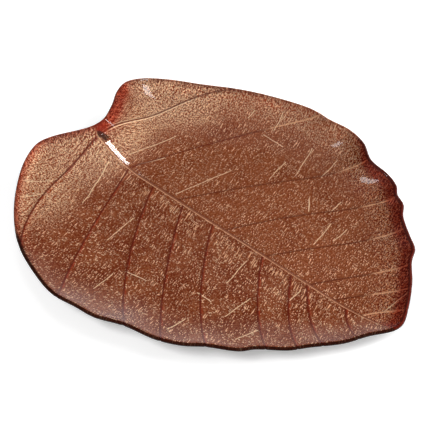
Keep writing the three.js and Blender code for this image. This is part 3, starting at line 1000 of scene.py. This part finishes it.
# Painted shade: the grooves darkened
groove_shade = times(tree, groove, without(tree, pale), fade(tree, leaf_y, -1.0, 1.0, 0.9, 0.75))
groove_shade_color = blend(tree, times(tree, is_upper, fade(tree, leaf_x, *BROWN_START)), GROOVE_SHADE_RED, GROOVE_SHADE_BROWN)
color = blend(tree, groove_shade, color, groove_shade_color)
color = blend(tree, times(tree, groove, pale, dotted, 0.7), color, GOLD)

# %% [markdown]
# ## The midrib
# The midrib is a smooth rose-brown band with a gold edge, a painted highlight, on the near side and a dark
# one, painted shade, on the far side. At the stem the glass is thick, and the lacquer below glows orange
# with two dark pits in it, painted as spots of shade.

# %% Paint the midrib
STEM_GLOW = (-2.0, 5.0, 9.0)
STEM_PITS = ((2.0, 1.0, 4.0), (6.0, 3.0, 4.0))


def near(tree, place, x, y, size):
    """1 in a soft round spot on the leaf and 0 away from it."""
    away = add(tree, "VectorMath", place, (x, y, 0), operation="DISTANCE", out=1)
    return fade(tree, away, size, size * 0.5)


color = blend(tree, times(tree, on_rib, 0.8), color, ROSE_BROWN)
# Painted highlight: gold on the midrib's near edge
color = blend(tree, times(tree, on_rib, fade(tree, across, 0.28, 0.14), dotted, 0.9), color, GOLD)
# Painted shade: dark red on the midrib's far edge
color = blend(tree, times(tree, on_rib, fade(tree, across, 0.66, 0.80), 0.85), color, DARK_RED)
color = blend(tree, times(tree, near(tree, leaf, *STEM_GLOW), 0.7), color, STEM_ORANGE)
# Painted shade: two dark spots for the pits at the stem
for pit in STEM_PITS:
    color = blend(tree, times(tree, near(tree, leaf, *pit), 0.85), color, PIT_SHADE_BROWN)

# %% [markdown]
# ## The margin
# By the notch, round the right side of the leaf and along the near lobe the lacquer turns a deep red,
# partly its own red and partly painted shade of the rim seen at a slant, and the very edge is painted
# dark as shade on the right and on the near side. The red is a tint that multiplies what is there, so the
# grain still shows in it.

# %% Darken the margin
TIP_START, NEAR_START, LOBE_EDGE_END = (170.0, 230.0), (45.0, 80.0), (75.0, 40.0)
RED_AT_NOTCH, RED_AT_TIP, RED_AT_LOBE = 9.6, 10.4, 3.2
RED_FADE = (3.0, -5.0)
DARK_WIDTH, DARK_FADE = 1.2, (0.6, -0.8)

by_tip = times(tree, fade(tree, leaf_x, *TIP_START), is_upper)
by_lobe = times(tree, fade(tree, leaf_x, *LOBE_EDGE_END), is_lower)
near_side = times(tree, fade(tree, leaf_x, *NEAR_START), is_lower)
red_places = ((by_notch, RED_AT_NOTCH), (by_tip, RED_AT_TIP), (by_lobe, RED_AT_LOBE))
red_width = most(tree, *(times(tree, mask, width) for mask, width in red_places))
# Partly painted shade: a deep red tint along the margin
red_edge = fade(tree, math_node(tree, "SUBTRACT", margin, red_width), *RED_FADE)
tinted = add(tree, "VectorMath", color, MARGIN_TINT, operation="MULTIPLY")
color = blend(tree, times(tree, red_edge, 0.85), color, tinted)
# Painted shade: the very edge darkened on the right and the near side
is_dark = most(tree, by_tip, near_side)
edge_shade = fade(tree, math_node(tree, "SUBTRACT", margin, times(tree, is_dark, DARK_WIDTH)), *DARK_FADE)
edge_shade_color = blend(tree, by_tip, EDGE_SHADE_BROWN, EDGE_SHADE_RED)
color = blend(tree, times(tree, edge_shade, fade(tree, is_dark, 0.0, 0.5), 0.9), color, edge_shade_color)

# %% [markdown]
# ## The finish of the lacquer
# Metal flakes lie in a clear binder, so the coat is partly metallic and rather dull. The golden grain,
# dots and lines stand up a little, and a bump lets them catch the light. The glass above does the
# shining, so the lacquer has no gloss of its own.

# %% Finish the lacquer
LACQUER_METAL = 0.4
LACQUER_BUMP = 0.7 * MM
raised = grain
for pattern in (dots, comb, lines):
    raised = math_node(tree, "ADD", raised, pattern)
principled(
    tree, Base_Color=color, Metallic=LACQUER_METAL, Roughness=fade(tree, cloud, 0.3, 0.7, 0.42, 0.52),
    Specular_IOR_Level=0.0, Normal=bump(tree, raised, 1.0, LACQUER_BUMP),
)
coat_with(lacquer, copper)

# %% [markdown]
# ## Clear glass
# Glass is clear, slightly uneven from the press, and reflects a few percent of the room. Light has to
# reach the lacquer below it, so shadow rays and rays that come back from the lacquer pass through it
# unbent.

# %% Make the glass
GLASS_TINT = (0.98, 0.985, 0.98, 1)
GLASS_IOR = 1.5
clear, tree = new_material("clear_pressed_glass")
spot = add(tree, "TexCoord", out=OBJECT)
wave = bump(tree, noise(tree, spot, 40.0, 1.0), 0.15, 0.4 * MM)
smears = fade(tree, noise(tree, spot, 25.0, 3.0), 0.35, 0.75, 0.0, 0.05)
shader, output = principled(
    tree, Base_Color=GLASS_TINT, Transmission_Weight=1.0, IOR=GLASS_IOR, Roughness=smears, Normal=wave,
)
light_path = tree.nodes.new("ShaderNodeLightPath")
unbent = ("Is Shadow Ray", "Is Diffuse Ray", "Is Glossy Ray")
passes = most(tree, *(light_path.outputs[name] for name in unbent))
open_air = tree.nodes.new("ShaderNodeBsdfTransparent")
either = add(tree, "MixShader", passes, shader.outputs[0], open_air.outputs[0])
tree.links.new(either, output.inputs["Surface"])
coat_with(glass, clear)

# %% [markdown]
# ## The seal coat
# The back is sealed with a satin brown paint. It is a little cloudy, and rubbed paler where the platter
# stands.

# %% Paint the seal coat
SEAL_DARK = (0.016, 0.008, 0.005, 1)
SEAL_LIGHT = (0.034, 0.018, 0.012, 1)
SEAL_WORN = (0.075, 0.048, 0.036, 1)
STANDS_BELOW = 0.6 * MM
brown, tree = new_material("seal_coat_paint")
spot = add(tree, "TexCoord", out=OBJECT)
cloud = noise(tree, spot, 30.0, 4.0)
color = blend(tree, fade(tree, cloud, 0.35, 0.65), SEAL_DARK, SEAL_LIGHT)
rests = fade(tree, parts(tree, spot)[2], STANDS_BELOW, 0.0)
scuff = times(tree, rests, fade(tree, noise(tree, spot, 120.0, 5.0), 0.52, 0.68))
color = blend(tree, times(tree, scuff, 0.8), color, SEAL_WORN)
speck = bump(tree, noise(tree, spot, 900.0, 2.0), 0.3, 0.1 * MM)
principled(tree, Base_Color=color, Roughness=fade(tree, cloud, 0.3, 0.7, 0.42, 0.58), Normal=speck)
coat_with(seal, brown)

# %% [markdown]
# ## Tie the pieces to the frame
# Each finished piece stands for one part of the frame, whose own mesh is hidden, and moves with its body.

# %% Tie the pieces
for piece, node, slot in (
    (glass, "glass_leaf", "clear_glass"),
    (lacquer, "copper_lacquer", "copper_lacquer"),
    (seal, "back_seal_coat", "seal_coat"),
):
    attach(piece, "root")
    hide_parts(node)

# %% [markdown]
# ## The table
# The platter stands on a plain white table that reaches out to the horizon. It glows a little, but only
# for the camera and for reflections, so it looks white and adds no light to the platter.

# %% Set the table
TABLE_SIZE = 40
TABLE_WHITE = (0.93, 0.93, 0.93, 1)
TABLE_GLOW = 0.40
bpy.ops.mesh.primitive_plane_add(size=TABLE_SIZE)
table = bpy.context.object
table.name = "white_table"
white, tree = new_material("white_table_top")
light_path = tree.nodes.new("ShaderNodeLightPath")
seen_by = ("Is Camera Ray", "Is Glossy Ray", "Is Transmission Ray")
seen = most(tree, *(light_path.outputs[name] for name in seen_by))
principled(
    tree, Base_Color=TABLE_WHITE, Roughness=0.9, Specular_IOR_Level=0.0, Emission_Color=(1, 1, 1, 1),
    Emission_Strength=times(tree, seen, TABLE_GLOW),
)
coat_with(table, white)

# %% [markdown]
# ## The camera
# The camera looks down at the platter from the near side, at the height and turn that make the leaf's
# outline look as in the picture. A long lens from close by keeps the far rim large enough.

# %% Aim the camera
AZIMUTH = math.radians(42.9)
ELEVATION = math.radians(43.0)
DISTANCE = 0.760
AIM = Vector((-0.01038, 0.00673, 0))
LENS = 70
SENSOR = 36
level = math.cos(ELEVATION)
back = Vector((math.sin(AZIMUTH) * level, -math.cos(AZIMUTH) * level, math.sin(ELEVATION)))
bpy.ops.object.camera_add(location=AIM + back * DISTANCE)
camera = bpy.context.object
camera.rotation_euler = (-back).to_track_quat("-Z", "Y").to_euler()
camera.data.lens = LENS
camera.data.sensor_width = SENSOR
camera.data.clip_start = 0.01
bpy.context.scene.camera = camera
print("camera at", [round(v, 3) for v in camera.location], "m")

# %% [markdown]
# ## The lamps
# A wide soft box on the right lights the platter. The three small boxes are there for their reflections:
# a strip in front on the left shines on the stem, one overhead on the lobe behind it, and one at the back
# on the right rim. Places are given as the camera's plan sees them, to the right, away and up, in metres.

# %% Hang the lamps
LAMPS = [
    ("side_key", (1.10, 0.20, 0.65), (1.2, 0.9), 4.5, (0, 0, 1)),
    ("top_box", (-0.02, 0.23, 2.00), (0.22, 0.40), 5.5, (0, 1, 0)),
    ("front_strip", (-0.56, -0.54, 1.04), (0.22, 0.55), 17.0, (-0.17, 0.37, 0.11)),
    ("back_box", (-0.60, 0.83, 2.00), (0.22, 0.15), 4.0, (-0.48, 0.88, 0)),
]


def from_view(right, away, up):
    """A direction given as the camera's plan sees it, in the frame's axes."""
    x = right * math.cos(AZIMUTH) - away * math.sin(AZIMUTH)
    y = right * math.sin(AZIMUTH) + away * math.cos(AZIMUTH)
    return Vector((x, y, up))


def hang(name, spot, size, brightness, along):
    """A soft box at a spot over the camera's plan that faces the platter, with its length along a direction."""
    place = from_view(*spot)
    bpy.ops.object.light_add(type="AREA", location=place)
    lamp = bpy.context.object
    lamp.name = name
    facing = place.normalized()
    length_way = from_view(*along)
    length_way = (length_way - facing * length_way.dot(facing)).normalized()
    width_way = length_way.cross(facing)
    lamp.rotation_euler = Matrix((width_way, length_way, facing)).transposed().to_euler()
    lamp.data.shape = "RECTANGLE"
    lamp.data.size, lamp.data.size_y = size
    lamp.data.energy = brightness * 4 * size[0] * size[1]
    print(name, round(lamp.data.energy, 2), "W")


for lamp_facts in LAMPS:
    hang(*lamp_facts)

# %% [markdown]
# ## The room
# The glass reflects the room, so the room has to be there. It is bright near the horizon, dim above it
# and a little brighter overhead. The wall behind the platter is the brightest, because the near rim
# reflects it as a pale veil, and the left is dim, because the right rim looks dark in the picture.

# %% Light the room
WALL_RISE, WALL_LIGHT = (0.0, 0.5), (0.6, 0.04)
CEILING_RISE, CEILING_LIGHT = (0.65, 0.9), (0.0, 0.26)
BACK_RISE, BACK_LIGHT, BACK_TURN = (0.0, 0.55), (1.2, 0.0), (0.7, 0.95)
LEFT_TURN, LEFT_SHARE = (-0.65, -0.25), (0.2, 1.0)

world = bpy.data.worlds.new("pale_room")
bpy.context.scene.world = world
world.use_nodes = True
tree = world.node_tree
looking = add(tree, "TexCoord")
upward = parts(tree, looking)[2]
rightward = add(tree, "VectorMath", looking, from_view(1, 0, 0), operation="DOT_PRODUCT", out=1)
awayward = add(tree, "VectorMath", looking, from_view(0, 1, 0), operation="DOT_PRODUCT", out=1)
walls = fade(tree, upward, *WALL_RISE, *WALL_LIGHT)
ceiling = fade(tree, upward, *CEILING_RISE, *CEILING_LIGHT)
back_wall = times(tree, fade(tree, upward, *BACK_RISE, *BACK_LIGHT), fade(tree, awayward, *BACK_TURN))
light = times(tree, math_node(tree, "ADD", walls, ceiling), fade(tree, rightward, *LEFT_TURN, *LEFT_SHARE))
room = tree.nodes["Background"]
room.inputs["Color"].default_value = (1, 1, 1, 1)
tree.links.new(math_node(tree, "ADD", light, back_wall), room.inputs["Strength"])
bpy.context.scene.view_settings.view_transform = "Standard"
print("room:", len(tree.nodes), "nodes")
